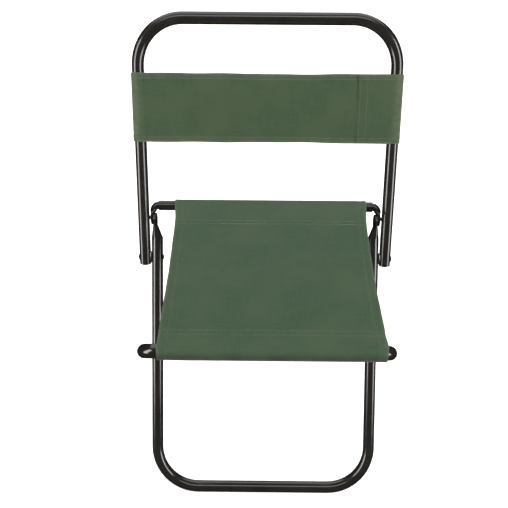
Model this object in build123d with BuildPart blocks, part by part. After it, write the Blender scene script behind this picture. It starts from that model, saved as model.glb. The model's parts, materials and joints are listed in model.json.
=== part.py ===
"""Folding camp stool with a backrest: two crossed tube frames, a sling seat and a pivoting back frame.

Millimetres, +X to the sitter's left, +Y to the back and +Z up. The origin is on the floor, in the
middle of the stool's box. Each frame is a U whose own plane has its closed bar on the X axis and its
legs along +Y.
"""

import os
from math import asin, atan2, cos, degrees, radians, sin, sqrt

from build123d import *

# Tubes
TUBE_R, WALL = 8.0, 1.2  # the three U frames, 16 mm outside
BAR_R, BAR_WALL = 7.0, 1.1  # the two cross bars, 14 mm outside

# Side view: where the four bars sit
SEAT_DEPTH = 270.0  # front seat bar to rear seat bar, centre to centre
SEAT_BAR_Z = 340.0
OUTER_FOOT_SET_BACK = 28.0  # front floor bar, behind the front seat bar
INNER_FOOT_SET_BACK = 286.0  # rear floor bar, behind the front seat bar

# Front view: half widths to the tube centres
OUTER_HALF = 154.0
INNER_HALF = 135.0
BACK_GAP = 1.2  # between the outer legs and the back frame
BACK_HALF = OUTER_HALF + 2 * TUBE_R + BACK_GAP

# Bend radii at the tube centre
LEG_BEND_R = 60.0
SEAT_BEND_R = 18.0
BACK_BEND_R = 60.0

# Backrest
PIVOT_BELOW_BAR = 73.3  # back pivot to rear seat bar, along the outer leg
BACK_LENGTH = 320.6  # top bar to back pivot
BACK_TAIL = 10.0  # tube past the pivot
BACK_CLOTH_LOW, BACK_CLOTH_HIGH = 163.3, 251.3  # along the back frame, from its pivot

# Pressed joints, where a leg frame's open ends are riveted to the ears of a cross bar
TAB_T, TAB_W, TAB_CORNER_R = 3.4, 21.0, 10.2
TAB_OFFSET = 2.8  # tab's middle plane, outside the leg's centre line
TAPER_START, TAPER_END, TAB_TOP = 46.0, 27.0, 10.6  # measured back from the cross bar
NECK_T, NECK_W, NECK_STUB = 11.0, 12.0, 8.0  # necked end of the bar, before its bend
BEND_T, BEND_W, BEND_INSET = 8.0, 13.5, 0.6  # where its bend ends, just before it is pressed flat
EAR_T, EAR_W, EAR_CORNER_R = 3.3, 19.0, 8.5
EAR_OFFSET = TAB_OFFSET + (TAB_T + EAR_T) / 2 + 0.05
EAR_BEND_R, EAR_TOP, EAR_END = 8.0, 10.4, 27.0  # the last two measured back from the cross bar
PRESSED_ROUND = 0.48  # corner radius of a pressed section, as a share of its thickness
JOINT_BELOW_BAR = 17.0

# Rivets and washers
RIVET_R, STOP_R, HOLE_CLEARANCE = 3.0, 2.5, 0.05
HEAD_R, HEAD_H, LOW_HEAD_H, EAR_HEAD_H = 4.7, 1.5, 1.0, 0.7
WASHER_R, STOP_WASHER_R, WASHER_PLAY = 8.0, 6.4, 0.1
STOP_END = 176.0  # the rear seat bar's rivets run on behind the back frame, as its stops
STOP_GAP = 0.15

# End plugs of the back frame
PLUG_DOME, PLUG_STUB, PLUG_PLAY = 2.4, 4.0, 0.03

# Cloth
CLOTH_T, CLOTH_GAP = 1.0, 0.3
SLEEVE_T = 1.5
SEAT_REAR_FROM, SEAT_REAR_TO = -127.0, 141.0  # the sling sits a little to one side
SEAT_FRONT_FROM, SEAT_FRONT_TO = -117.0, 117.0
SLING_T, SLING_DROP = 1.8, 2.0  # the sling between its sleeves, below their tops

# Worked out from the sizes above
outer_rise, outer_run = SEAT_BAR_Z - TUBE_R, SEAT_DEPTH - OUTER_FOOT_SET_BACK
inner_rise, inner_run = SEAT_BAR_Z - BAR_R, INNER_FOOT_SET_BACK
outer_length = sqrt(outer_rise**2 + outer_run**2)
inner_length = sqrt(inner_rise**2 + inner_run**2)
outer_angle = degrees(atan2(outer_rise, outer_run))
inner_angle = -degrees(atan2(inner_rise, inner_run))
stop_from_pivot = PIVOT_BELOW_BAR - JOINT_BELOW_BAR
back_angle = outer_angle + degrees(asin((TUBE_R + STOP_R + STOP_GAP) / stop_from_pivot))

front_reach = TUBE_R + CLOTH_GAP + SLEEVE_T
top_bar_back = SEAT_DEPTH - PIVOT_BELOW_BAR * cos(radians(outer_angle))
top_bar_back += BACK_LENGTH * cos(radians(back_angle)) + TUBE_R
front_y = (front_reach - top_bar_back) / 2


def leaning_plane(y, z, angle):
    """A plane across the stool, whose own +Y climbs at an angle from the stool's +Y."""
    normal = (0, -sin(radians(angle)), cos(radians(angle)))
    return Plane(origin=(0, y, z), x_dir=(1, 0, 0), z_dir=normal)


outer_plane = leaning_plane(front_y + OUTER_FOOT_SET_BACK, TUBE_R, outer_angle)
inner_plane = leaning_plane(front_y, SEAT_BAR_Z, inner_angle)
pivot = outer_plane.from_local_coords(Vector(0, outer_length - PIVOT_BELOW_BAR, 0))
upward = Vector(0, cos(radians(back_angle)), sin(radians(back_angle)))
top_bar = pivot + upward * BACK_LENGTH
back_plane = leaning_plane(top_bar.Y, top_bar.Z, back_angle + 180)

rear_joint = outer_plane.from_local_coords(Vector(0, outer_length - JOINT_BELOW_BAR, 0))
foot_joint = inner_plane.from_local_coords(Vector(0, inner_length - JOINT_BELOW_BAR, 0))
inner_share = SEAT_DEPTH / (inner_run + outer_run * inner_rise / outer_rise)
crossing = inner_plane.from_local_coords(Vector(0, inner_share * inner_length, 0))


def side_plane(x, at, along=(0, 1, 0)):
    """A plane facing +X at x, through a point of the side view."""
    return Plane(origin=(x, at.Y, at.Z), x_dir=along, z_dir=(1, 0, 0))


def u_tube(plane, half, length, bend_r):
    """A tube bent to a U, with its closed bar on the plane's X axis and its legs along +Y."""
    with BuildLine(plane) as path:
        FilletPolyline((half, length), (half, 0), (-half, 0), (-half, length), radius=bend_r)
    with BuildSketch(Plane(origin=path.line @ 0, z_dir=path.line % 0)) as ring:
        Circle(TUBE_R)
        Circle(TUBE_R - WALL, mode=Mode.SUBTRACT)
    sweep(ring.sketch, path=path.line)


def pressed_section(plane, thickness, width):
    with BuildSketch(plane) as section:
        RectangleRounded(thickness, width, min(thickness, width) * PRESSED_ROUND)
    return section.sketch


def pressed_leg_ends(plane, half, bar_at):
    """The open ends of a leg frame: round at the taper's start, flat tabs beside the cross bar."""
    middle = (TAPER_START + TAPER_END) / 2
    stations = (
        (TAPER_START, 0.0, 2 * TUBE_R - 0.02, 2 * TUBE_R - 0.02),
        (middle, TAB_OFFSET / 2, (2 * TUBE_R + TAB_T) / 2, (2 * TUBE_R + TAB_W) / 2),
        (TAPER_END, TAB_OFFSET, TAB_T, TAB_W),
    )
    for side in (-1, 1):
        sections = []
        for back, offset, thickness, width in stations:
            at = plane.from_local_coords(Vector(side * (half + offset), bar_at - back, 0))
            across = Plane(origin=at, x_dir=(1, 0, 0), z_dir=plane.y_dir)
            sections.append(pressed_section(across, thickness, width))
        loft(sections)
        tab_middle = bar_at - (TAPER_END + TAB_TOP) / 2
        at = plane.from_local_coords(Vector(0, tab_middle, 0))
        with BuildSketch(side_plane(side * (half + TAB_OFFSET), at, plane.y_dir)) as tab:
            Rectangle(TAPER_END - TAB_TOP, TAB_W)
            fillet(tab.vertices().sort_by(Axis.X)[-2:], radius=TAB_CORNER_R)
        extrude(tab.sketch, amount=TAB_T / 2, both=True)


def cross_bar(plane, half, bar_at):
    """A straight tube whose necked ends bend along the legs and are pressed into flat ears."""
    ear_x = half + EAR_OFFSET
    bend_x = ear_x - BEND_INSET - EAR_BEND_R
    bar_middle = plane.from_local_coords(Vector(0, bar_at, 0))
    with BuildSketch(side_plane(0, bar_middle)) as ring:
        Circle(BAR_R)
        Circle(BAR_R - BAR_WALL, mode=Mode.SUBTRACT)
    extrude(ring.sketch, amount=bend_x, both=True)
    for side in (-1, 1):
        stub = pressed_section(side_plane(side * bend_x, bar_middle, plane.y_dir), NECK_T, NECK_W)
        extrude(stub, amount=-side * NECK_STUB)
        sections = []
        for turn in (0, 30, 60, 90):
            across, along = sin(radians(turn)), cos(radians(turn))
            at = Vector(side * (bend_x + EAR_BEND_R * across), bar_at - EAR_BEND_R * (1 - along), 0)
            heading = Vector(side * along, -across, 0)
            outward = Vector(side * across, along, 0)
            share = across**2  # of the way from the neck's section to the bend's end
            section = Plane(
                origin=plane.from_local_coords(at),
                x_dir=plane.from_local_coords(outward) - plane.origin,
                z_dir=plane.from_local_coords(heading) - plane.origin,
            )
            thickness = NECK_T + (BEND_T - NECK_T) * share
            sections.append(pressed_section(section, thickness, NECK_W + (BEND_W - NECK_W) * share))
        loft(sections)
        at = plane.from_local_coords(Vector(side * ear_x, bar_at - EAR_TOP, 0))
        ear_start = Plane(origin=at, x_dir=section.x_dir, z_dir=section.z_dir)
        loft([sections[-1], pressed_section(ear_start, EAR_T, EAR_W)], ruled=True)
        ear_middle = plane.from_local_coords(Vector(0, bar_at - (EAR_TOP + EAR_END) / 2, 0))
        with BuildSketch(side_plane(side * ear_x, ear_middle, plane.y_dir)) as ear:
            Rectangle(EAR_END - EAR_TOP, EAR_W)
            fillet(ear.vertices().sort_by(Axis.X)[:2], radius=EAR_CORNER_R)
        extrude(ear.sketch, amount=EAR_T / 2, both=True)


def cross_holes(at, radius, low, high):
    """A round hole along X through both sides of a frame, from |x| low to high."""
    for side in (-1, 1):
        with BuildSketch(side_plane(side * low, at)) as hole:
            Circle(radius + HOLE_CLEARANCE)
        extrude(hole.sketch, amount=side * (high - low), mode=Mode.SUBTRACT)


def dome_points(face, height, radius, way):
    """Middle and end of the arc that domes a head out from its flat face."""
    sphere_r = (radius**2 + height**2) / (2 * height)
    half_turn = asin(radius / sphere_r) / 2
    drop = sphere_r * (1 - cos(half_turn))
    return (face + way * (height - drop), sphere_r * sin(half_turn)), (face + way * height, 0)


def rivet(side, at, radius, inner, outer, inner_head, outer_head):
    """A rivet along X from |x| inner to outer, with a domed head of the given height at each end.

    An outer head of no height leaves a plain pin.
    """
    low, high = side * inner, side * outer
    head_tip = dome_points(low, inner_head, HEAD_R, -side)
    with BuildSketch(Plane(origin=(0, at.Y, at.Z))) as half_section:
        with BuildLine():
            Line((low - side * inner_head, 0), (high + side * outer_head, 0))
            ThreePointArc((low, HEAD_R), head_tip[0], head_tip[1])
            Line((low, HEAD_R), (low, radius))
            if outer_head:
                far_tip = dome_points(high, outer_head, HEAD_R, side)
                Line((low, radius), (high, radius))
                Line((high, radius), (high, HEAD_R))
                ThreePointArc((high, HEAD_R), far_tip[0], far_tip[1])
            else:
                Line((low, radius), (high - side * radius / 2, radius))
                Line((high - side * radius / 2, radius), (high, radius / 2))
                Line((high, radius / 2), (high, 0))
        make_face()
    revolve(half_section.sketch, axis=Axis((0, at.Y, at.Z), (1, 0, 0)))


def washer(side, at, radius, low, high, outer_radius=WASHER_R):
    with BuildSketch(side_plane(side * low, at)) as ring:
        Circle(outer_radius)
        Circle(radius + HOLE_CLEARANCE, mode=Mode.SUBTRACT)
    extrude(ring.sketch, amount=side * (high - low))


def sleeve(at, inner_r, start, end):
    """A round cloth sleeve along X."""
    with BuildSketch(side_plane(start, at)) as ring:
        Circle(inner_r + CLOTH_GAP + SLEEVE_T)
        Circle(inner_r + CLOTH_GAP, mode=Mode.SUBTRACT)
    extrude(ring.sketch, amount=end - start)


def save(part, name):
    part.label = name
    export_step(part, f"parts/{name}.step")


os.makedirs("parts", exist_ok=True)

# Leg frames and cross bars
with BuildPart() as outer_leg_frame:
    u_tube(outer_plane, OUTER_HALF, outer_length - TAPER_START, LEG_BEND_R)
    pressed_leg_ends(outer_plane, OUTER_HALF, outer_length)
    for at, radius in ((pivot, RIVET_R), (crossing, RIVET_R), (rear_joint, STOP_R)):
        cross_holes(at, radius, OUTER_HALF - 2 * TUBE_R, OUTER_HALF + 2 * TUBE_R)
save(outer_leg_frame.part, "outer_leg_frame")

with BuildPart() as inner_leg_frame:
    u_tube(inner_plane, INNER_HALF, inner_length - TAPER_START, SEAT_BEND_R)
    pressed_leg_ends(inner_plane, INNER_HALF, inner_length)
    for at, radius in ((crossing, RIVET_R), (foot_joint, STOP_R)):
        cross_holes(at, radius, INNER_HALF - 2 * TUBE_R, INNER_HALF + 2 * TUBE_R)
save(inner_leg_frame.part, "inner_leg_frame")

with BuildPart() as rear_seat_bar:
    cross_bar(outer_plane, OUTER_HALF, outer_length)
    cross_holes(rear_joint, STOP_R, OUTER_HALF, OUTER_HALF + 2 * TUBE_R)
save(rear_seat_bar.part, "rear_seat_bar")

with BuildPart() as rear_floor_bar:
    cross_bar(inner_plane, INNER_HALF, inner_length)
    cross_holes(foot_joint, STOP_R, INNER_HALF, INNER_HALF + 2 * TUBE_R)
save(rear_floor_bar.part, "rear_floor_bar")

# Back frame
with BuildPart() as back_frame:
    u_tube(back_plane, BACK_HALF, BACK_LENGTH + BACK_TAIL, BACK_BEND_R)
    cross_holes(pivot, RIVET_R, BACK_HALF - 2 * TUBE_R, BACK_HALF + 2 * TUBE_R)
save(back_frame.part, "back_frame")

# Rivets, washers and plugs, one of each on either side
outer_inside, outer_outside = OUTER_HALF - TUBE_R, OUTER_HALF + TUBE_R
inner_inside, inner_outside = INNER_HALF - TUBE_R, INNER_HALF + TUBE_R
back_inside, back_outside = BACK_HALF - TUBE_R, BACK_HALF + TUBE_R
tab_inside = TAB_OFFSET - TAB_T / 2
ear_outside = EAR_OFFSET + EAR_T / 2

for side, hand in ((1, "left"), (-1, "right")):
    with BuildPart() as scissor_rivet:
        rivet(side, crossing, RIVET_R, inner_inside, outer_outside, HEAD_H, LOW_HEAD_H)
    save(scissor_rivet.part, f"scissor_rivet_{hand}")

    with BuildPart() as scissor_washer:
        washer(side, crossing, RIVET_R, inner_outside + WASHER_PLAY, outer_inside)
    save(scissor_washer.part, f"scissor_washer_{hand}")

    with BuildPart() as back_rivet:
        rivet(side, pivot, RIVET_R, outer_inside, back_outside + WASHER_PLAY, HEAD_H, HEAD_H)
    save(back_rivet.part, f"back_rivet_{hand}")

    with BuildPart() as back_washer:
        washer(side, pivot, RIVET_R, outer_outside, back_inside - WASHER_PLAY)
    save(back_washer.part, f"back_washer_{hand}")

    with BuildPart() as stop_rivet:
        rivet(side, rear_joint, STOP_R, OUTER_HALF + tab_inside, STOP_END, EAR_HEAD_H, 0)
    save(stop_rivet.part, f"stop_rivet_{hand}")

    with BuildPart() as stop_washer:
        low, high = OUTER_HALF + ear_outside, back_inside - CLOTH_GAP
        washer(side, rear_joint, STOP_R, low, high, STOP_WASHER_R)
    save(stop_washer.part, f"stop_washer_{hand}")

    with BuildPart() as foot_rivet:
        low, high = INNER_HALF + tab_inside, INNER_HALF + ear_outside
        rivet(side, foot_joint, STOP_R, low, high, EAR_HEAD_H, EAR_HEAD_H)
    save(foot_rivet.part, f"foot_rivet_{hand}")

    end = back_plane.from_local_coords(Vector(side * BACK_HALF, BACK_LENGTH + BACK_TAIL, 0))
    bore_r = TUBE_R - WALL - PLUG_PLAY
    dome = dome_points(0, PLUG_DOME, TUBE_R, 1)
    with BuildPart() as back_plug:
        with BuildSketch(Plane(origin=end, x_dir=back_plane.y_dir, z_dir=(1, 0, 0))):
            with BuildLine():
                Line((-PLUG_STUB, 0), (PLUG_DOME, 0))
                ThreePointArc((0, TUBE_R), dome[0], dome[1])
                Line((0, TUBE_R), (0, bore_r))
                Line((0, bore_r), (-PLUG_STUB, bore_r))
                Line((-PLUG_STUB, bore_r), (-PLUG_STUB, 0))
            make_face()
        revolve(axis=Axis(end, back_plane.y_dir))
    save(back_plug.part, f"back_plug_{hand}")

# Cloth
front_bar_at = Vector(0, front_y, SEAT_BAR_Z)
rear_bar_at = Vector(0, front_y + SEAT_DEPTH, SEAT_BAR_Z)

with BuildPart() as seat_front_sleeve:
    sleeve(front_bar_at, TUBE_R, SEAT_FRONT_FROM, SEAT_FRONT_TO)
save(seat_front_sleeve.part, "seat_front_sleeve")

with BuildPart() as seat_rear_sleeve:
    sleeve(rear_bar_at, BAR_R, SEAT_REAR_FROM, SEAT_REAR_TO)
save(seat_rear_sleeve.part, "seat_rear_sleeve")

sling_front = front_y + TUBE_R + SLEEVE_T + 2 * CLOTH_GAP
sling_rear = front_y + SEAT_DEPTH - BAR_R - SLEEVE_T - 2 * CLOTH_GAP
sling_z = SEAT_BAR_Z + BAR_R + SLEEVE_T - SLING_DROP
with BuildPart() as seat_cloth:
    with BuildSketch(Plane.XY.offset(sling_z)):
        with BuildLine():
            Polyline(
                (SEAT_FRONT_FROM, sling_front), (SEAT_FRONT_TO, sling_front),
                (SEAT_REAR_TO, sling_rear), (SEAT_REAR_FROM, sling_rear), close=True,
            )
        make_face()
    extrude(amount=-SLING_T)
save(seat_cloth.part, "seat_cloth")

with BuildPart() as back_cloth:
    low_edge = back_plane.from_local_coords(Vector(0, BACK_LENGTH - BACK_CLOTH_LOW, 0))
    with BuildSketch(Plane(origin=low_edge, x_dir=(1, 0, 0), z_dir=upward)):
        SlotCenterToCenter(2 * BACK_HALF, 2 * (TUBE_R + CLOTH_GAP + CLOTH_T))
        SlotCenterToCenter(2 * BACK_HALF, 2 * (TUBE_R + CLOTH_GAP), mode=Mode.SUBTRACT)
    extrude(amount=BACK_CLOTH_HIGH - BACK_CLOTH_LOW)
save(back_cloth.part, "back_cloth")
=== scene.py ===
"""Looks of the folding camp stool: sewn canvas seat and back band, stitching, enamel and studio."""

import json
import math

import bpy
import numpy as np
from mathutils import Matrix, Vector


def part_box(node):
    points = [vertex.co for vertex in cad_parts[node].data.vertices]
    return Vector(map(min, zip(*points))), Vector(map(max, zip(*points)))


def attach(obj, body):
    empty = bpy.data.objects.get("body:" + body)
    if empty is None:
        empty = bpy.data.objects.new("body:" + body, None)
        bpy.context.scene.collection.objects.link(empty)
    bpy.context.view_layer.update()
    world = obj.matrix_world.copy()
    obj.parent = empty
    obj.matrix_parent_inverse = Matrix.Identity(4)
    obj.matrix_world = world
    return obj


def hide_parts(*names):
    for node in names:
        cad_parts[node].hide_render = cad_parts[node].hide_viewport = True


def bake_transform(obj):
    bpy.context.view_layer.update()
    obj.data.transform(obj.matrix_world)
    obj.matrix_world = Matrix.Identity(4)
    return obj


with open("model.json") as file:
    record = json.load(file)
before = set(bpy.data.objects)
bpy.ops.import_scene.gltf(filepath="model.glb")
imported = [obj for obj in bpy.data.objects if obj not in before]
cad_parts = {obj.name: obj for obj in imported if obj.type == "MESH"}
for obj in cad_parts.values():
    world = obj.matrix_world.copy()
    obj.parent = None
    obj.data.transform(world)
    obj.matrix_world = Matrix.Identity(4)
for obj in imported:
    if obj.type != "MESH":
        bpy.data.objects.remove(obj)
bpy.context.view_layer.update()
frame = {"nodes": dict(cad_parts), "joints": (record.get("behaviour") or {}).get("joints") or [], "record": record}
MM = 0.001
rng = np.random.default_rng(41)

# Where the frame is
front_low, front_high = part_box("seat_front_sleeve")
rear_low, rear_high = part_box("seat_rear_sleeve")
back_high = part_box("back_frame")[1]
FRONT_Y, BAR_Z = (front_low.y + front_high.y) / 2, (front_low.z + front_high.z) / 2
REAR_Y = (rear_low.y + rear_high.y) / 2
DEPTH = REAR_Y - FRONT_Y
TUBE_R, BAR_R = 8.0 * MM, 7.0 * MM
joints = {joint["name"]: joint for joint in frame["joints"]}
pivot = Vector(joints["backrest_pivot"]["pos_m"])
top_bar = Vector((0, back_high.y - TUBE_R, back_high.z - TUBE_R))
UP = (top_bar - pivot).normalized()
FRONTWARD = Vector((0, -UP.z, UP.y))
BACK_HALF = back_high.x - TUBE_R

# Cloth
THICK = 0.7 * MM
LAYER = 0.8 * MM  # what one layer takes up where cloth lies on cloth
FOLD_R = LAYER / 2
HEM_RISE = 0.12 * MM  # the face over a hem stands this much higher
STITCH_DENT, STITCH_DENT_WIDTH = 0.18 * MM, 0.9 * MM  # the groove that a hem's stitches pull
PUCKER = 0.20 * MM  # height of the puckers beside the stitches


# Numbers that vary smoothly

def smooth(x, low, high):
    t = np.clip((x - low) / (high - low), 0, 1)
    return t * t * (3 - 2 * t)


def bump(x, middle, width):
    return np.exp(-(((x - middle) / width) ** 2))


class Ripple:
    """A smooth random field over a surface, near -1 to 1, with waves from short to long metres."""

    def __init__(self, short, long, waves=14, lean=None):
        size = np.exp(rng.uniform(math.log(short), math.log(long), waves))
        turn = rng.uniform(0, math.tau, waves) if lean is None else rng.normal(lean, 0.25, waves)
        self.a, self.b = np.cos(turn) * math.tau / size, np.sin(turn) * math.tau / size
        self.shift = rng.uniform(0, math.tau, waves)
        self.weight = (size / long) ** 0.5
        self.weight /= np.sqrt((self.weight**2).sum() / 2) * 1.6

    def __call__(self, u, v):
        u, v = np.broadcast_arrays(np.asarray(u, float), np.asarray(v, float))
        total = np.zeros(u.shape)
        for a, b, shift, weight in zip(self.a, self.b, self.shift, self.weight):
            total += weight * np.sin(a * u + b * v + shift)
        return total


# Meshes

def make_object(name, points, faces, uv=None, attributes=None):
    mesh = bpy.data.meshes.new(name)
    mesh.from_pydata([tuple(p) for p in points], [], [tuple(int(i) for i in f) for f in faces])
    if uv is not None:
        layer = mesh.uv_layers.new(name="cloth")
        corner = np.empty(len(mesh.loops), np.int32)
        mesh.loops.foreach_get("vertex_index", corner)
        layer.data.foreach_set("uv", np.asarray(uv, np.float32)[corner].ravel())
    for key, values in (attributes or {}).items():
        made = mesh.attributes.new(key, "FLOAT", "POINT")
        made.data.foreach_set("value", np.asarray(values, np.float32))
    mesh.validate()
    mesh.polygons.foreach_set("use_smooth", np.ones(len(mesh.polygons), bool))
    mesh.update()
    made = bpy.data.objects.new(name, mesh)
    bpy.context.collection.objects.link(made)
    return made


def grid_normals(grid):
    du, dv = np.gradient(grid, axis=0), np.gradient(grid, axis=1)
    n = np.cross(dv, du)
    return n / np.maximum(np.linalg.norm(n, axis=2, keepdims=True), 1e-12)


def thick_sheet(name, middle, uv, wear_and_highlight, underside_shade):
    """A closed sheet of cloth about a grid of points on its middle surface. Normals face outwards."""
    rows, columns = middle.shape[:2]
    normal = grid_normals(middle)
    outer, inner = middle + normal * THICK / 2, middle - normal * THICK / 2
    count = rows * columns
    index = np.arange(count).reshape(rows, columns)
    a, b = index[:-1, :-1].ravel(), index[:-1, 1:].ravel()
    c, d = index[1:, 1:].ravel(), index[1:, :-1].ravel()
    quads = [np.stack([a, b, c, d], 1), np.stack([d, c, b, a], 1) + count]
    rim = np.concatenate([index[0, :], index[1:, -1], index[-1, -2::-1], index[-2::-1, 0]])
    one, two = rim[:-1], rim[1:]
    quads.append(np.stack([two, one, one + count, two + count], 1))
    points = np.concatenate([outer.reshape(-1, 3), inner.reshape(-1, 3)])
    return make_object(
        name,
        points,
        np.concatenate(quads),
        uv=np.tile(uv.reshape(-1, 2), (2, 1)),
        attributes={"wear_and_highlight": np.tile(wear_and_highlight.ravel(), 2), "underside_shade": np.tile(underside_shade.ravel(), 2)},
    )


def sew_threads(name, runs, radius):
    """Stitches: a short thread for each run of points and normals, its ends dipped into the cloth."""
    sides = 6
    turn = np.arange(sides) * math.tau / sides
    points, faces = [], []
    for path, normal in runs:
        along = np.gradient(path, axis=0)
        along /= np.maximum(np.linalg.norm(along, axis=1, keepdims=True), 1e-12)
        across = np.cross(along, normal)
        share = np.linspace(0, 1, len(path))
        lift = radius * (1.5 * np.sin(np.pi * share) ** 0.6 - 0.95)
        thick = radius * (0.45 + 0.55 * np.sin(np.pi * share) ** 0.5)
        middle = path + normal * lift[:, None]
        start = len(points)
        for k in range(len(path)):
            ring = (
                middle[k]
                + thick[k] * np.cos(turn)[:, None] * across[k]
                + 0.8 * thick[k] * np.sin(turn)[:, None] * normal[k]
            )
            points.extend(ring)
        for k in range(len(path) - 1):
            for s in range(sides):
                one, two = start + k * sides + s, start + k * sides + (s + 1) % sides
                faces.append((one, two, two + sides, one + sides))
        faces.append(tuple(start + s for s in reversed(range(sides))))
        last = start + (len(path) - 1) * sides
        faces.append(tuple(last + s for s in range(sides)))
    return make_object(name, points, faces)


class Sheet:
    """A sheet of cloth whose middle surface is middle(u, v), in lengths along and across it."""

    def skin(self, u, v):
        """Points and normals on the sheet's outer face."""
        h = 0.4 * MM
        u, v = np.asarray(u, float), np.asarray(v, float)
        du = self.middle(u + h, v) - self.middle(u - h, v)
        dv = self.middle(u, v + h) - self.middle(u, v - h)
        n = np.cross(dv, du)
        n /= np.linalg.norm(n, axis=-1, keepdims=True)
        return self.middle(u, v) + n * THICK / 2, n


STITCH, STITCH_GAP, THREAD_R = 2.7 * MM, 0.6 * MM, 0.27 * MM


def stitches(surface, u0, v0, u1, v1):
    """Stitch runs along a straight line in a surface's own two lengths."""
    length = math.hypot(u1 - u0, v1 - v0)
    count = max(1, round(length / (STITCH + STITCH_GAP)))
    share = STITCH / (STITCH + STITCH_GAP)
    drift = rng.normal(0, 0.09 * MM, count)
    runs = []
    for k in range(count):
        t = (k + np.linspace(0, share, 6)) / count
        sideways = drift[k] / max(length, 1e-9)
        u = u0 + (u1 - u0) * t + (v1 - v0) * sideways
        v = v0 + (v1 - v0) * t - (u1 - u0) * sideways
        runs.append(surface.skin(u, v))
    return runs


# Seat cloth: one sheet, sewn into a sleeve round each seat bar

SEAT_SAG = 2.0 * MM
REAR_SEAM = (226 * MM, 219 * MM)  # twin stitch lines, back from the front bar
FRONT_SEAM = (16.5 * MM, 23.4 * MM)
SEAM_ALLOWANCE = 6 * MM
SEAM_END = 1.2 * MM  # a seam's stitches stop this far from the cloth's edge
HEM_RUNS = 60  # straight runs that a side hem's stitches are made of
SIDE_HEM, SIDE_STITCH = 9.5 * MM, 7.6 * MM
REAR_WRAP, FRONT_WRAP = BAR_R + 1.35 * MM, TUBE_R + 1.35 * MM
BEND_FROM, BEND_R = 117 * MM, 18 * MM  # where the front bar's tube turns down into its leg
BEND_BACK, BEND_DOWN = 0.65, 0.76  # the way that the cloth goes down with it
SEAT_FLAT, SEAT_NARROW = 262 * MM, 250 * MM  # width between the hems' folds, rear and near the front
SEAT_RIGHT, SEAT_LEFT = 118.0 * MM, 128.6 * MM  # from the middle to its two edges at the front bar
RIGHT_WIDENS, LEFT_WIDENS = 4.4 * MM, 7.0 * MM  # from the front bar to the rear seam
RIGHT_FLARE, LEFT_FLARE = 2.4 * MM, 2.0 * MM  # and on to the rear bar
SEAM_DENT, SEAT_BILLOW, SEAT_CREASE = 0.24 * MM, 0.55 * MM, 0.12 * MM


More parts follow.
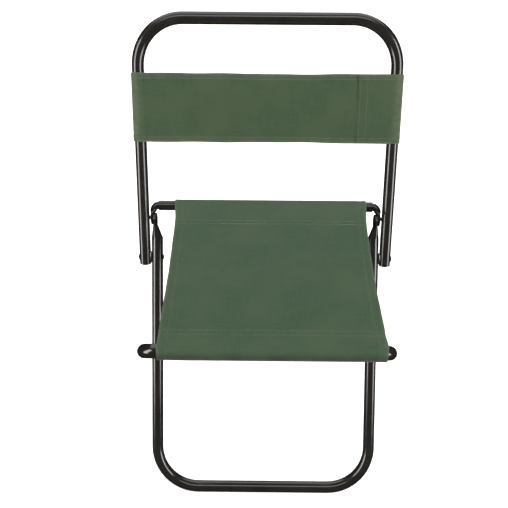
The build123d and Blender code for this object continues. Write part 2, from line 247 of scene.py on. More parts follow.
class Seat(Sheet):
    """The seat cloth's surface: u runs from its rear end round both bars, v is X."""

    @staticmethod
    def side_view():
        """The sheet's line from its rear end to its front end, as (back from the front bar, up)."""

        def top(y):
            v = y / DEPTH
            return REAR_WRAP * v + FRONT_WRAP * (1 - v) - 4 * SEAT_SAG * v * (1 - v)

        def wrap(y, radius, start, stop):
            turn = np.radians(np.linspace(start, stop, 40))
            return np.stack([y + radius * np.cos(turn), radius * np.sin(turn)], 1)

        def tangent(y, radius, seam):
            away, high = seam - y, top(seam) - LAYER
            return math.atan2(high, away), math.acos(radius / math.hypot(away, high))

        face, spread = tangent(DEPTH, REAR_WRAP, REAR_SEAM[0])
        rear_start = math.degrees(face + spread) - 360
        face, spread = tangent(0, FRONT_WRAP, FRONT_SEAM[0])
        front_stop = math.degrees(face - spread) + 360
        between = np.linspace(0, 1, 30)[1:-1, None]

        def straight(a, b):
            return np.array(a) * (1 - between) + np.array(b) * between

        rear_end = (REAR_SEAM[1] - SEAM_ALLOWANCE, top(REAR_SEAM[1] - SEAM_ALLOWANCE) - LAYER)
        rear_sewn = (REAR_SEAM[0], top(REAR_SEAM[0]) - LAYER)
        front_sewn = (FRONT_SEAM[0], top(FRONT_SEAM[0]) - LAYER)
        front_end = (FRONT_SEAM[1] + SEAM_ALLOWANCE, top(FRONT_SEAM[1] + SEAM_ALLOWANCE) - LAYER)
        rear_wrap = wrap(DEPTH, REAR_WRAP, rear_start, 90)
        front_wrap = wrap(0, FRONT_WRAP, 90, front_stop)
        forward = np.linspace(DEPTH, 0, 130)[1:-1]
        over = np.stack([forward, top(forward)], 1)
        return np.concatenate(
            [
                [rear_end], straight(rear_end, rear_sewn), [rear_sewn],
                straight(rear_sewn, rear_wrap[0]), rear_wrap, over, front_wrap,
                straight(front_wrap[-1], front_sewn), [front_sewn],
                straight(front_sewn, front_end), [front_end],
            ]
        )

    def __init__(self):
        path = self.side_view()
        step = np.linalg.norm(np.diff(path, axis=0), axis=1)
        path = path[np.concatenate([[True], step > 1e-7])]
        length = np.concatenate([[0], np.cumsum(np.linalg.norm(np.diff(path, axis=0), axis=1))])
        self.length = length[-1]
        fine = np.arange(0, self.length, 0.25 * MM)
        line = np.stack([np.interp(fine, length, path[:, k]) for k in (0, 1)], 1)
        # rounded off a little, as stiff cloth is
        kernel = np.hanning(13)
        kernel /= kernel.sum()
        padded = np.pad(line, ((6, 6), (0, 0)), mode="reflect", reflect_type="odd")
        line = np.stack([np.convolve(padded[:, k], kernel, "valid") for k in (0, 1)], 1)
        self.u, self.line = fine, line
        along = np.gradient(line, axis=0)
        along /= np.linalg.norm(along, axis=1, keepdims=True)
        self.normal = np.stack([along[:, 1], -along[:, 0]], 1)
        self.over_rear, self.over_front = self.u_of(DEPTH), self.u_of(0.0)
        # how far an under-layer lies against the top one: 1 where it is sewn, 0 round the bar
        y = line[:, 0]
        under_rear = (fine < self.over_rear) * (1 - smooth(y, REAR_SEAM[0], DEPTH - 6 * MM))
        under_front = (fine > self.over_front) * smooth(y, 2 * MM, FRONT_SEAM[0])
        self.under = under_rear + under_front
        self.ripple = Ripple(7 * MM, 16 * MM)
        self.billow = Ripple(60 * MM, 240 * MM, 9)
        self.crease = Ripple(18 * MM, 50 * MM, 12, lean=1.2)

    def u_of(self, y, top=True):
        """The length along the sheet where its top layer, or its under-layer, is at y."""
        half = len(self.u) // 2
        if top:
            crest_rear = int(np.argmax(self.line[: half, 0]))
            crest_front = half + int(np.argmin(self.line[half:, 0]))
            part = slice(crest_rear, crest_front)
            return float(np.interp(-y, -self.line[part, 0], self.u[part]))
        if y > DEPTH / 2:
            part = slice(0, int(np.argmax(self.line[: half, 0])))
            return float(np.interp(y, self.line[part, 0], self.u[part]))
        part = slice(half + int(np.argmin(self.line[half:, 0])), None)
        return float(np.interp(y, self.line[part, 0], self.u[part]))

    def edges(self, u):
        """The sheet's two edges at u: X on the sitter's right and on the sitter's left."""
        y = np.interp(u, self.u, self.line[:, 0])
        share, flare = np.clip(y, 0, None) / REAR_SEAM[1], smooth(y, REAR_SEAM[1], DEPTH)
        draw = 0.8 * MM * smooth(-y, -2 * MM, 9 * MM)
        wave = 0.16 * MM * np.sin(u / (17 * MM)) + 0.10 * MM * np.sin(u / (6.1 * MM) + 1)
        low = -(SEAT_RIGHT + RIGHT_WIDENS * share**2 + RIGHT_FLARE * flare) + draw + wave
        corner = 1.8 * MM * bump(y, 3 * MM, 10 * MM)
        high = SEAT_LEFT + LEFT_WIDENS * share**2 + LEFT_FLARE * flare + corner - draw - 0.8 * wave
        return low, high

    def middle(self, u, v, inward=0.0):
        """Points of the sheet's middle surface, moved inward by inward."""
        u, v = np.broadcast_arrays(np.asarray(u, float), np.asarray(v, float))
        y, z = (np.interp(u, self.u, self.line[:, k]) for k in (0, 1))
        ny, nz = (np.interp(u, self.u, self.normal[:, k]) for k in (0, 1))
        size = np.hypot(ny, nz)
        ny, nz = ny / size, nz / size
        under = np.interp(u, self.u, self.under)
        low, high = self.edges(u)
        side = np.minimum(v - low, high - v)
        over = (u > self.over_rear) & (u < self.over_front)
        # at the sides, both layers' hems lie between the top layer and the under-layer
        lift = 2 * LAYER * under * (1 - smooth(side, SIDE_HEM - 1 * MM, SIDE_HEM + 4 * MM))
        near = np.zeros(u.shape)
        for line in (*REAR_SEAM, *FRONT_SEAM):
            near = np.maximum(near, bump(y, line, 3.2 * MM))
            lift = lift - SEAM_DENT * bump(y, line, 1.0 * MM) * over
        hem_near = bump(side, SIDE_STITCH, 3.0 * MM)
        lift = lift - STITCH_DENT * bump(side, SIDE_STITCH, STITCH_DENT_WIDTH)
        lift = lift + HEM_RISE * smooth(SIDE_HEM - side, -1.5 * MM, 0.5 * MM)
        lift = lift + PUCKER * self.ripple(u, v) * np.maximum(near * over, hem_near)
        flat = over * smooth(y, 14 * MM, 45 * MM) * smooth(DEPTH - y, 14 * MM, 60 * MM)
        lift = lift + (SEAT_BILLOW * self.billow(u, v) + SEAT_CREASE * self.crease(u, v)) * flat
        lift = lift - inward
        # both front corners follow the front bar down its bends
        past = np.clip(abs(v) - BEND_FROM, 0, BEND_R * 0.9)
        drop = BEND_R - np.sqrt(BEND_R**2 - past**2)
        drop = drop * (1 - smooth(y, 6 * MM, 34 * MM))
        y, z = y + ny * lift + drop * BEND_BACK, z + nz * lift - drop * BEND_DOWN
        return np.stack([v, FRONT_Y + y, BAR_Z + z], -1)


def stations(low, high, step, fine_step, near, reach):
    """Places from low to high, closer together within reach of each place in near."""
    out = [low]
    while out[-1] < high:
        close = any(abs(out[-1] - x) < reach for x in near)
        out.append(out[-1] + (fine_step if close else step))
    out = np.array(out)
    return low + (out - low) * (high - low) / (out[-1] - low)


def hemmed(hem, places):
    """Across a sheet with both edges folded under: place in the width 0..1, fold offset and depth.

    Gives (share, outside, inward): outside is how far past the edge, inward how deep under the face.
    """
    under = np.linspace(1, 0, 8)[:-1]
    turn = np.linspace(0, math.pi, 7)[:-1]
    left = [(0.0, -hem * share, LAYER) for share in under]
    left += [(0.0, FOLD_R * math.sin(t), FOLD_R * (1 + math.cos(t))) for t in turn]
    right = [(1.0, outside, inward) for _, outside, inward in reversed(left)]
    return left + [(p, 0.0, 0.0) for p in places] + right


def cloth_uv(grid_u, run):
    """Texture coordinates in metres: along the sheet and across it, round its hems."""
    return np.stack([grid_u, np.broadcast_to(run, grid_u.shape)], -1)


def lengths_along(places):
    return np.concatenate([[0], np.cumsum(np.abs(np.diff(places)))])


def sew_seat(seat):
    """The seat cloth's mesh."""
    crests = [seat.over_front, seat.over_rear]
    near = [seat.u_of(y) for y in (*REAR_SEAM, *FRONT_SEAM)] + crests
    u = stations(0, seat.length, 2.4 * MM, 0.9 * MM, near, 6 * MM)
    low, high = seat.edges(u)
    hem_shares = np.linspace(0, 1.35 * SIDE_HEM, 12) / SEAT_NARROW
    inside = np.linspace(hem_shares[-1], 1 - hem_shares[-1], 100)[1:-1]
    columns_v, columns_in = [], []
    for share, outside, inward in hemmed(SIDE_HEM, [*hem_shares, *inside, *(1 - hem_shares[::-1])]):
        sign = -1 if share < 0.5 else 1
        columns_v.append(low + (high - low) * share + sign * outside)
        columns_in.append(np.full(len(u), inward))
    grid_v, grid_in = np.stack(columns_v, 1), np.stack(columns_in, 1)
    grid_u = np.repeat(u[:, None], grid_v.shape[1], 1)
    side = np.minimum(grid_v - low[:, None], high[:, None] - grid_v)
    y = np.interp(grid_u, seat.u, seat.line[:, 0])
    # paler at the folded edges, the hems and along the seams: partly wear, partly a painted highlight on the folds
    wear_and_highlight = 0.9 * bump(side, 0, 1.6 * MM) + 0.35 * bump(side, SIDE_HEM, 1.2 * MM)
    for seam in (*REAR_SEAM, *FRONT_SEAM):
        wear_and_highlight = np.maximum(wear_and_highlight, 0.55 * bump(y, seam, 1.1 * MM))
    # painted highlight where the cloth turns over the front bar
    wear_and_highlight = np.maximum(wear_and_highlight, 0.12 * bump(y, 4 * MM, 14 * MM))
    # painted shade on the cloth's turn under the front bar and on the under-layer behind it
    front_turn = smooth(grid_u, seat.over_front + 6 * MM, seat.over_front + 17 * MM)
    underside_shade = front_turn * (1 - smooth(y, 20 * MM, 30 * MM))
    uv = cloth_uv(grid_u, lengths_along(grid_v[len(grid_v) // 2]))
    return thick_sheet("seat_cover", seat.middle(grid_u, grid_v, grid_in), uv, wear_and_highlight, underside_shade)


def seat_stitches(seat):
    """Twin seams through both layers behind each bar, then one line along each side hem."""
    runs = []
    for seam in (*REAR_SEAM, *FRONT_SEAM):
        for u in (seat.u_of(seam), seat.u_of(seam, top=False)):
            low, high = seat.edges(np.array([u]))
            runs += stitches(seat, u, low[0] + SEAM_END, u, high[0] - SEAM_END)
    places = 2 * MM + (seat.length - 4 * MM) * np.arange(HEM_RUNS + 1) / HEM_RUNS
    for u0, u1 in zip(places[:-1], places[1:]):
        (low0, low1), (high0, high1) = seat.edges(np.array([u0, u1]))
        runs += stitches(seat, u0, low0 + SIDE_STITCH, u1, low1 + SIDE_STITCH)
        runs += stitches(seat, u0, high0 - SIDE_STITCH, u1, high1 - SIDE_STITCH)
    return runs


seat = Seat()
seat_cloth = sew_seat(seat)
seat_thread = sew_threads("seat_stitching", seat_stitches(seat), THREAD_R)


# Back cloth: one doubled band round both tubes of the back frame, with an overlap seam

BAND_LOW, BAND_HIGH = 163.3 * MM, 251.3 * MM  # along the back frame, from its pivot
BAND_HEIGHT = BAND_HIGH - BAND_LOW
BAND_HEM, BAND_STITCH = 8.0 * MM, 6.0 * MM
BAND_WRAP = TUBE_R + 1.2 * MM
SEAM_AT, SEAM_LINES, SEAM_LAP = 127.5 * MM, (-4.5 * MM, 4.5 * MM), 7.5 * MM
PANEL_IN = 1.3 * MM  # how far each panel lies in from the line that touches both tubes
BAND_SEAM_DENT, BAND_BILLOW, BAND_EDGE_WAVE = 0.12 * MM, 0.7 * MM, 0.5 * MM


class Band(Sheet):
    """The back cloth's surface: u runs once round the loop and past its seam, v is the height."""

    def __init__(self):
        flat = 2 * BACK_HALF
        self.loop = 2 * flat + math.tau * BAND_WRAP
        start = BACK_HALF - SEAM_AT
        self.start, self.stop = start - SEAM_LAP, start + self.loop + SEAM_LAP
        self.seam = (start, start + self.loop)
        self.flat = flat
        self.ripple = Ripple(7 * MM, 15 * MM)
        self.billow = Ripple(50 * MM, 200 * MM, 9)
        self.wave = Ripple(60 * MM, 170 * MM, 6)
        self.base = pivot + UP * BAND_LOW

    def section(self, u):
        """Place across the stool and towards the front, and the outward normal, at u round the loop.

        The loop starts at the left tube and runs along the front panel to the right tube.
        """
        w = np.mod(u, self.loop)
        arc = math.pi * BAND_WRAP
        front = w < self.flat
        right = (w >= self.flat) & (w < self.flat + arc)
        rear = (w >= self.flat + arc) & (w < 2 * self.flat + arc)
        turn_right = (w - self.flat) / BAND_WRAP
        turn_left = (w - 2 * self.flat - arc) / BAND_WRAP
        x = np.select(
            [front, right, rear],
            [
                BACK_HALF - w,
                -BACK_HALF - BAND_WRAP * np.sin(turn_right),
                -BACK_HALF + (w - self.flat - arc),
            ],
            BACK_HALF + BAND_WRAP * np.sin(turn_left),
        )
        out = np.select(
            [front, right, rear],
            [BAND_WRAP, BAND_WRAP * np.cos(turn_right), -BAND_WRAP],
            -BAND_WRAP * np.cos(turn_left),
        )
        nx = np.select([front | rear, right], [0 * w, -np.sin(turn_right)], np.sin(turn_left))
        nf = np.select([front, right, rear], [1 + 0 * w, np.cos(turn_right), -1], -np.cos(turn_left))
        return x, out, nx, nf

    def middle(self, u, v, inward=0.0):
        """Points of the band's middle surface, moved inward by inward."""
        u, v = np.broadcast_arrays(np.asarray(u, float), np.asarray(v, float))
        x, out, nx, nf = self.section(u)
        side = np.minimum(v, BAND_HEIGHT - v)
        from_tube = BACK_HALF - abs(x)
        panel = smooth(from_tube, 0, 13 * MM)
        lift = -PANEL_IN * panel
        over = smooth(u, self.seam[1] - SEAM_LAP - 9 * MM, self.seam[1] - SEAM_LAP)
        # the overlap lies on two layers in the hems and on one between them
        lift = lift + 1.05 * LAYER * over * np.where(side < BAND_HEM, 2, 1)
        lap = over + (1 - smooth(u, self.start, self.seam[0] + SEAM_LAP + 3 * MM))
        near = bump(side, BAND_STITCH, 3 * MM)
        lift = lift - STITCH_DENT * bump(side, BAND_STITCH, STITCH_DENT_WIDTH)
        lift = lift + HEM_RISE * smooth(BAND_HEM - side, -1.5 * MM, 0.5 * MM)
        for line in SEAM_LINES:
            for seam in self.seam:
                near = np.maximum(near, bump(u, seam + line, 3 * MM))
                lift = lift - BAND_SEAM_DENT * bump(u, seam + line, 1.1 * MM)
        once = np.mod(u, self.loop)
        lift = lift + PUCKER * self.ripple(once, v) * near * (1 - 0.5 * lap)
        lift = lift + BAND_BILLOW * self.billow(once, v) * panel * (1 - np.clip(lap, 0, 1))
        lift = lift - inward
        from_middle = v - BAND_HEIGHT / 2
        edge = BAND_EDGE_WAVE * self.wave(once, 0 * v) * panel * np.sign(from_middle)
        along = v + edge * smooth(abs(from_middle), 20 * MM, 44 * MM)
        x, out = x + nx * lift, out + nf * lift
        y = self.base.y + UP.y * along + FRONTWARD.y * out
        z = self.base.z + UP.z * along + FRONTWARD.z * out
        return np.stack([x, y, z], -1)


def sew_band(band):
    """The back cloth's mesh."""
    turn = math.pi * BAND_WRAP
    arcs = (band.flat, band.flat + turn, 2 * band.flat + turn, band.loop)
    seams = [seam + line for seam in band.seam for line in (*SEAM_LINES, SEAM_LAP, -SEAM_LAP)]
    u = stations(band.start, band.stop, 2.6 * MM, 1.0 * MM, [*arcs, *seams], 10 * MM)
    hem_shares = np.linspace(0, 1.5 * BAND_HEM, 14) / BAND_HEIGHT
    inside = np.linspace(hem_shares[-1], 1 - hem_shares[-1], 30)[1:-1]
    rows = hemmed(BAND_HEM, [*hem_shares, *inside, *(1 - hem_shares[::-1])])
    v = np.array(
        [BAND_HEIGHT * share + (-1 if share < 0.5 else 1) * outside for share, outside, _ in rows]
    )
    inward = np.array([deep for _, _, deep in rows])
    grid_u = np.repeat(u[:, None], len(v), 1)
    side = np.minimum(v, BAND_HEIGHT - v)[None, :]
    in_hem = 1 - smooth(side, BAND_HEM - 1 * MM, BAND_HEM)
    # paler at the band's edges and hems: partly wear, partly a painted highlight on the folds
    wear_and_highlight = 0.9 * bump(side, 0, 1.6 * MM) + 0.30 * in_hem + np.zeros(grid_u.shape)
    for line in seams:
        wear_and_highlight = np.maximum(wear_and_highlight, 0.10 * bump(grid_u, line, 1.2 * MM))
    # painted highlight where the band turns round the tubes
    on_tube = smooth(abs(band.section(grid_u)[0]), BACK_HALF - 9 * MM, BACK_HALF + 3 * MM)
    wear_and_highlight = np.maximum(wear_and_highlight, 0.95 * on_tube)
    grid = band.middle(grid_u, v[None, :], inward[None, :])
    uv = cloth_uv(grid_u, lengths_along(v))
    return thick_sheet("back_band", grid, uv, wear_and_highlight, np.zeros(grid_u.shape))


def band_stitches(band):
    """One line round each hem, then twin lines up the overlap seam."""
    runs = []
    for height in (BAND_STITCH, BAND_HEIGHT - BAND_STITCH):
        runs += stitches(band, band.start + 1 * MM, height, band.stop - 1 * MM, height)
    for line in SEAM_LINES:
        u = band.seam[1] + line
        runs += stitches(band, u, SEAM_END, u, BAND_HEIGHT - SEAM_END)
    return runs


band = Band()
back_cloth = sew_band(band)
back_thread = sew_threads("back_stitching", band_stitches(band), THREAD_R)


# Materials

def new_material(name):
    material = bpy.data.materials.new(name)
    material.use_nodes = True
    tree = material.node_tree
    tree.nodes.clear()
    output = tree.nodes.new("ShaderNodeOutputMaterial")
    shader = tree.nodes.new("ShaderNodeBsdfPrincipled")
    tree.links.new(shader.outputs["BSDF"], output.inputs["Surface"])
    return material, tree, shader


class Nodes:
    """Short ways to add nodes to a tree."""

    def __init__(self, tree):
        self.tree = tree

    def put(self, socket, value):
        if isinstance(value, bpy.types.NodeSocket):
            self.tree.links.new(value, socket)
        elif value is not None:
            socket.default_value = value

    def math(self, operation, a, b=None):
        node = self.tree.nodes.new("ShaderNodeMath")
        node.operation = operation
        for socket, value in zip(node.inputs, (a, b)):
            self.put(socket, value)
        return node.outputs[0]

    def mix(self, share, a, b):
        node = self.tree.nodes.new("ShaderNodeMix")
        node.data_type = "RGBA"
        self.put(node.inputs["Factor"], share)
        self.put(node.inputs["A"], a)
        self.put(node.inputs["B"], b)
        return node.outputs["Result"]

    def noise(self, vector, scale, detail=2.0, rough=0.5):
        node = self.tree.nodes.new("ShaderNodeTexNoise")
        self.put(node.inputs["Vector"], vector)
        node.inputs["Scale"].default_value = scale
        node.inputs["Detail"].default_value = detail
        node.inputs["Roughness"].default_value = rough
        return node.outputs["Fac"]

    def range(self, value, low, high, to_low=0.0, to_high=1.0):
        node = self.tree.nodes.new("ShaderNodeMapRange")
        node.interpolation_type = "SMOOTHSTEP"
        for socket, number in zip(node.inputs, (value, low, high, to_low, to_high)):
            self.put(socket, number)
        return node.outputs["Result"]

    def coordinates(self, kind):
        return self.tree.nodes.new("ShaderNodeTexCoord").outputs[kind]

    def stretch(self, vector, x, y, z):
        node = self.tree.nodes.new("ShaderNodeMapping")
        self.put(node.inputs["Vector"], vector)
        node.inputs["Scale"].default_value = (x, y, z)
        return node.outputs["Vector"]

    def split(self, vector):
        node = self.tree.nodes.new("ShaderNodeSeparateXYZ")
        self.put(node.inputs[0], vector)
        return node.outputs

    def attribute(self, name):
        node = self.tree.nodes.new("ShaderNodeAttribute")
        node.attribute_name = name
        return node.outputs["Fac"]

    def bump(self, height, distance, strength=1.0, under=None):
        node = self.tree.nodes.new("ShaderNodeBump")
        self.put(node.inputs["Height"], height)
        node.inputs["Distance"].default_value = distance
        node.inputs["Strength"].default_value = strength
        if under is not None:
            self.put(node.inputs["Normal"], under)
        return node.outputs["Normal"]


THREAD_PITCH = 0.78 * MM
SCUFF_HIGH = 3.0 * MM  # the floor rubs the enamel up to here


def canvas_material(name, dye):
    """Plain weave of heavy yarns, faintly uneven; paler at folds, seams and turns round tubes (wear and painted
    highlight), darker under the seat's front bar (painted shade).
    """

    def dyed(*colour):
        return (*(c * d for c, d in zip(colour, dye)), 1)

    material, tree, shader = new_material(name)
    n = Nodes(tree)
    uv = n.coordinates("UV")
    u, v, _ = n.split(uv)
    waver = n.math("MULTIPLY", n.math("SUBTRACT", n.noise(uv, 90.0, 2), 0.5), 0.35)
    turn = math.pi / THREAD_PITCH
    sin_u = n.math("SINE", n.math("ADD", n.math("MULTIPLY", u, turn), waver))
    sin_v = n.math("SINE", n.math("ADD", n.math("MULTIPLY", v, turn), waver))
    over = n.math("MULTIPLY", n.math("MULTIPLY", sin_u, sin_v), 0.5)
    warp = n.math("MULTIPLY", n.math("ABSOLUTE", sin_v), n.math("ADD", over, 0.5))
    weft = n.math("MULTIPLY", n.math("ABSOLUTE", sin_u), n.math("SUBTRACT", 0.5, over))
    weave = n.math("MAXIMUM", warp, weft)
    slub = n.math(
        "ADD",
        n.noise(n.stretch(uv, 40, 1300, 1), 1.0, 2),
        n.noise(n.stretch(uv, 1300, 40, 1), 1.0, 2),
    )
    base = n.mix(n.range(slub, 0.75, 1.25), dyed(0.0217, 0.0488, 0.0240), dyed(0.0320, 0.0665, 0.0336))
    cloudy = n.noise(uv, 14.0, 4, 0.6)
    base = n.mix(n.range(cloudy, 0.35, 0.65), base, dyed(0.0362, 0.0648, 0.0312))
    gap = n.range(weave, 0.05, 0.45, 0.35, 0.0)
    base = n.mix(gap, base, dyed(0.021, 0.036, 0.018))
    # paler at folds, seams and turns round tubes: partly wear, partly a painted highlight
    wear_and_highlight = n.math("MULTIPLY", n.attribute("wear_and_highlight"), n.range(n.noise(uv, 160.0, 3), 0.2, 0.75, 0.25, 1.0))
    base = n.mix(n.math("MULTIPLY", wear_and_highlight, 0.45), base, (0.115, 0.125, 0.080, 1))
    # painted shade: darker on the seat's underside below the front bar
    underside_shade = n.math("MULTIPLY", n.attribute("underside_shade"), n.range(n.noise(uv, 45.0, 3), 0.2, 0.7, 0.55, 1.0))
    base = n.mix(n.math("MULTIPLY", underside_shade, 0.95), base, (0.013, 0.012, 0.007, 1))
    n.put(shader.inputs["Base Color"], base)
    n.put(shader.inputs["Roughness"], n.range(weave, 0.1, 0.7, 0.95, 0.78))
    shader.inputs["Specular IOR Level"].default_value = 0.30
    shader.inputs["Sheen Weight"].default_value = 0.10
    shader.inputs["Sheen Roughness"].default_value = 0.45
    fuzz = n.bump(n.noise(uv, 2600.0, 2), 0.05 * MM, 0.35)
    n.put(shader.inputs["Normal"], n.bump(weave, 0.16 * MM, 0.55, fuzz))
    return material


def thread_material(name, dark, pale):
    material, tree, shader = new_material(name)
    n = Nodes(tree)
    where = n.coordinates("Object")
    base = n.mix(n.range(n.noise(where, 500.0, 2), 0.35, 0.65), dark, pale)
    n.put(shader.inputs["Base Color"], base)
    shader.inputs["Roughness"].default_value = 0.62
    shader.inputs["Sheen Weight"].default_value = 0.15
    twist = n.noise(where, 5200.0, 1)
    n.put(shader.inputs["Normal"], n.bump(twist, 0.06 * MM, 0.5))
    return material


def enamel_material(name, dark, pale, rough):
    """Gloss stove enamel: slight orange peel, dust, and bare scuffs under what stands on the floor."""
    material, tree, shader = new_material(name)
    n = Nodes(tree)
    where = n.coordinates("Object")
    z = n.split(where)[2]
    base = n.mix(n.range(n.noise(where, 35.0, 4, 0.6), 0.3, 0.7), dark, pale)
    speck = n.range(n.noise(where, 900.0, 3, 0.65), 0.66, 0.74)
    base = n.mix(n.math("MULTIPLY", speck, 0.10), base, (0.16, 0.15, 0.135, 1))
    gloss = n.range(n.noise(where, 60.0, 5, 0.65), 0.25, 0.8, rough, rough + 0.10)
    rub = n.noise(n.stretch(where, 60, 700, 700), 1.0, 4, 0.7)
    scuff = n.math("MULTIPLY", n.range(z, 0.0, SCUFF_HIGH, 1.0, 0.0), n.range(rub, 0.42, 0.60))
    base = n.mix(n.math("MULTIPLY", scuff, 0.8), base, (0.20, 0.19, 0.175, 1))
    gloss = n.math("ADD", gloss, n.math("MULTIPLY", scuff, 0.35))
    n.put(shader.inputs["Base Color"], base)
    n.put(shader.inputs["Roughness"], gloss)
    shader.inputs["IOR"].default_value = 1.6
    peel = n.bump(n.noise(where, 420.0, 2), 0.10 * MM, 0.05)
    n.put(shader.inputs["Normal"], peel)
    return material


def zinc_material():
    material, tree, shader = new_material("zinc_plate")
    n = Nodes(tree)
    where = n.coordinates("Object")
    bloom = n.range(n.noise(where, 260.0, 4, 0.6), 0.3, 0.7)
    base = n.mix(bloom, (0.56, 0.55, 0.51, 1), (0.40, 0.40, 0.38, 1))
    n.put(shader.inputs["Base Color"], base)
    shader.inputs["Metallic"].default_value = 1.0
    n.put(shader.inputs["Roughness"], n.range(bloom, 0, 1, 0.30, 0.48))
    n.put(shader.inputs["Normal"], n.bump(n.noise(where, 1800.0, 2), 0.04 * MM, 0.3))
    return material


def plug_material():
    material, tree, shader = new_material("moulded_plug")
    n = Nodes(tree)
    where = n.coordinates("Object")
    base = n.mix(n.noise(where, 120.0, 3), (0.010, 0.010, 0.010, 1), (0.020, 0.019, 0.018, 1))
    n.put(shader.inputs["Base Color"], base)
    n.put(shader.inputs["Roughness"], n.range(n.noise(where, 300.0, 3), 0.3, 0.7, 0.38, 0.55))
    n.put(shader.inputs["Normal"], n.bump(n.noise(where, 2200.0, 2), 0.05 * MM, 0.25))
    return material


def floor_material():
    material, tree, shader = new_material("studio_floor")
    n = Nodes(tree)
    where = n.coordinates("Object")
    base = n.mix(n.noise(where, 3.0, 2), (0.88, 0.88, 0.875, 1), (0.90, 0.90, 0.895, 1))
    n.put(shader.inputs["Base Color"], base)
    shader.inputs["Roughness"].default_value = 0.75
    shader.inputs["Specular IOR Level"].default_value = 0.2
    shader.inputs["Emission Color"].default_value = (1.0, 1.0, 1.0, 1)
    shader.inputs["Emission Strength"].default_value = 0.45
    return material


def backdrop_material():
    material, _, shader = new_material("studio_backdrop")
    shader.inputs["Base Color"].default_value = (0, 0, 0, 1)
    shader.inputs["Emission Color"].default_value = (1.0, 1.0, 1.0, 1)
    shader.inputs["Emission Strength"].default_value = 0.81
    return material


def flag_material():
    material, _, shader = new_material("studio_flag")
    shader.inputs["Base Color"].default_value = (0.01, 0.01, 0.01, 1)
    shader.inputs["Roughness"].default_value = 1.0
    return material


seat_canvas = canvas_material("seat_canvas", (1.0, 1.0, 1.0))
back_canvas = canvas_material("back_canvas", (1.09, 0.955, 0.91))
pale_thread = thread_material("pale_thread", (0.115, 0.160, 0.100, 1), (0.160, 0.205, 0.138, 1))
green_thread = thread_material("green_thread", (0.046, 0.072, 0.040, 1), (0.070, 0.100, 0.058, 1))
tube_enamel = enamel_material("frame_enamel", (0.010, 0.0090, 0.0080, 1), (0.014, 0.0125, 0.0112, 1), 0.11)
rivet_enamel = enamel_material("rivet_enamel", (0.010, 0.009, 0.008, 1), (0.020, 0.018, 0.016, 1), 0.20)
zinc, plug = zinc_material(), plug_material()
by_slot = {
    "frame_enamel": tube_enamel,
    "bar_enamel": tube_enamel,
    "rivet_steel": rivet_enamel,
    "zinc_washer": zinc,
    "end_plug": plug,
    "canvas": seat_canvas,
}
slots = {part["node"]: part["material_slot"] for part in frame["record"]["subparts"]}
for node, made in frame["nodes"].items():
    made.data.materials.clear()
    made.data.materials.append(by_slot[slots[node]])
sewn = (
    (seat_cloth, seat_canvas), (seat_thread, pale_thread),
    (back_cloth, back_canvas), (back_thread, green_thread),
)
for made, material in sewn:
    made.data.materials.append(material)

# Which body each piece moves with
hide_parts("seat_cloth", "seat_front_sleeve", "seat_rear_sleeve")
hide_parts("back_cloth")
for made in (seat_cloth, seat_thread):
    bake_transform(made)
for made in (back_cloth, back_thread):
    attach(made, "backrest")

# Studio
bpy.ops.mesh.primitive_plane_add(size=24)
floor = bpy.context.object
floor.name = "studio_floor"
floor.data.materials.append(floor_material())
floor.visible_glossy = False
bpy.ops.mesh.primitive_cylinder_add(vertices=96, radius=12, depth=16, end_fill_type="NOTHING")
backdrop = bpy.context.object
backdrop.name = "studio_backdrop"
backdrop.data.materials.append(backdrop_material())
backdrop.visible_glossy = backdrop.visible_diffuse = backdrop.visible_shadow = False
bpy.ops.mesh.primitive_plane_add(size=1, location=(0, -1.5, 0.95), rotation=(math.radians(80), 0, 0))
dark_flag = bpy.context.object
dark_flag.name = "studio_dark_flag"
dark_flag.scale = (1.5, 1.9, 1)
dark_flag.data.materials.append(flag_material())
dark_flag.visible_camera = dark_flag.visible_diffuse = dark_flag.visible_shadow = False

world = bpy.data.worlds.new("studio")
bpy.context.scene.world = world
world.use_nodes = True
world.node_tree.nodes["Background"].inputs[0].default_value = (0.95, 0.97, 1.0, 1)
world.node_tree.nodes["Background"].inputs[1].default_value = 0.45
world.cycles_visibility.glossy = False


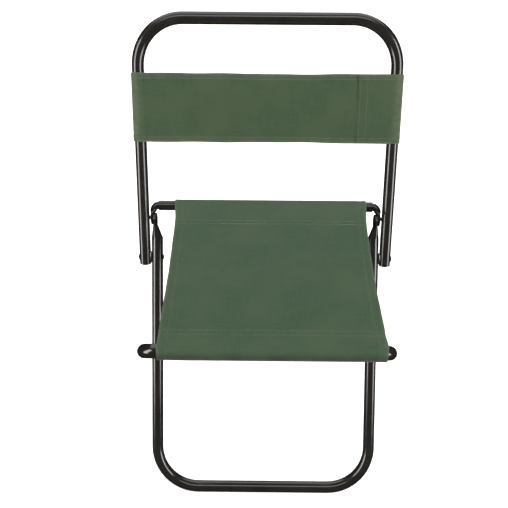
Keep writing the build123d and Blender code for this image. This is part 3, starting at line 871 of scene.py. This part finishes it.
def softbox(name, at, aim, width, height, radiance):
    """An area light at a place, facing another, with its brightness as radiance."""
    light = bpy.data.lights.new(name, "AREA")
    light.shape, light.size, light.size_y = "RECTANGLE", width, height
    light.energy = radiance * math.pi * width * height
    light.color = (1.0, 0.985, 0.96)
    made = bpy.data.objects.new(name, light)
    made.location = at
    made.rotation_euler = (Vector(aim) - Vector(at)).to_track_quat("-Z", "Y").to_euler()
    made.visible_camera = False
    bpy.context.collection.objects.link(made)


aim = (0, 0, 0.33)
softbox("overhead", (0, 1.6, 2.6), (0, 1.6, 0), 4.0, 3.2, 1.6)
softbox("front_softbox", (0, -0.9, 2.2), aim, 1.7, 0.6, 3.2)
softbox("rear_softbox", (0, 2.4, 1.2), aim, 2.6, 1.0, 2.4)
softbox("left_softbox", (-1.75, -0.9, 0.95), aim, 0.8, 1.9, 8.0)
softbox("right_softbox", (1.75, -0.9, 0.95), aim, 0.8, 1.9, 8.0)

# Camera
FOCAL, FRAME, SENSOR = 590.0, 508.0, 36.0  # focal length and frame in the picture's own units
CAMERA_SIDE, CAMERA_BACK, CAMERA_UP = -13.5 * MM, 418 * MM, 827 * MM  # back from the front seat bar
LOOK_DOWN, YAW, ROLL = math.radians(39.93), math.radians(-0.2), math.radians(0.38)
camera_data = bpy.data.cameras.new("camera")
camera_data.sensor_width = SENSOR
camera_data.lens = FOCAL * SENSOR / FRAME
camera = bpy.data.objects.new("camera", camera_data)
bpy.context.collection.objects.link(camera)
ahead = Vector(
    (math.sin(YAW) * math.cos(LOOK_DOWN), math.cos(YAW) * math.cos(LOOK_DOWN), -math.sin(LOOK_DOWN))
)
right = Vector((math.cos(YAW), -math.sin(YAW), 0))
above = right.cross(ahead)
turned = right * math.cos(ROLL) + above * math.sin(ROLL)
upright = turned.cross(ahead)
pose = Matrix((turned, upright, -ahead)).transposed().to_4x4()
pose.translation = Vector((CAMERA_SIDE, FRONT_Y - CAMERA_BACK, CAMERA_UP))
camera.matrix_world = pose
camera_data.clip_start, camera_data.clip_end = 0.01, 50
bpy.context.scene.camera = camera
bpy.context.scene.view_settings.view_transform = "Standard"
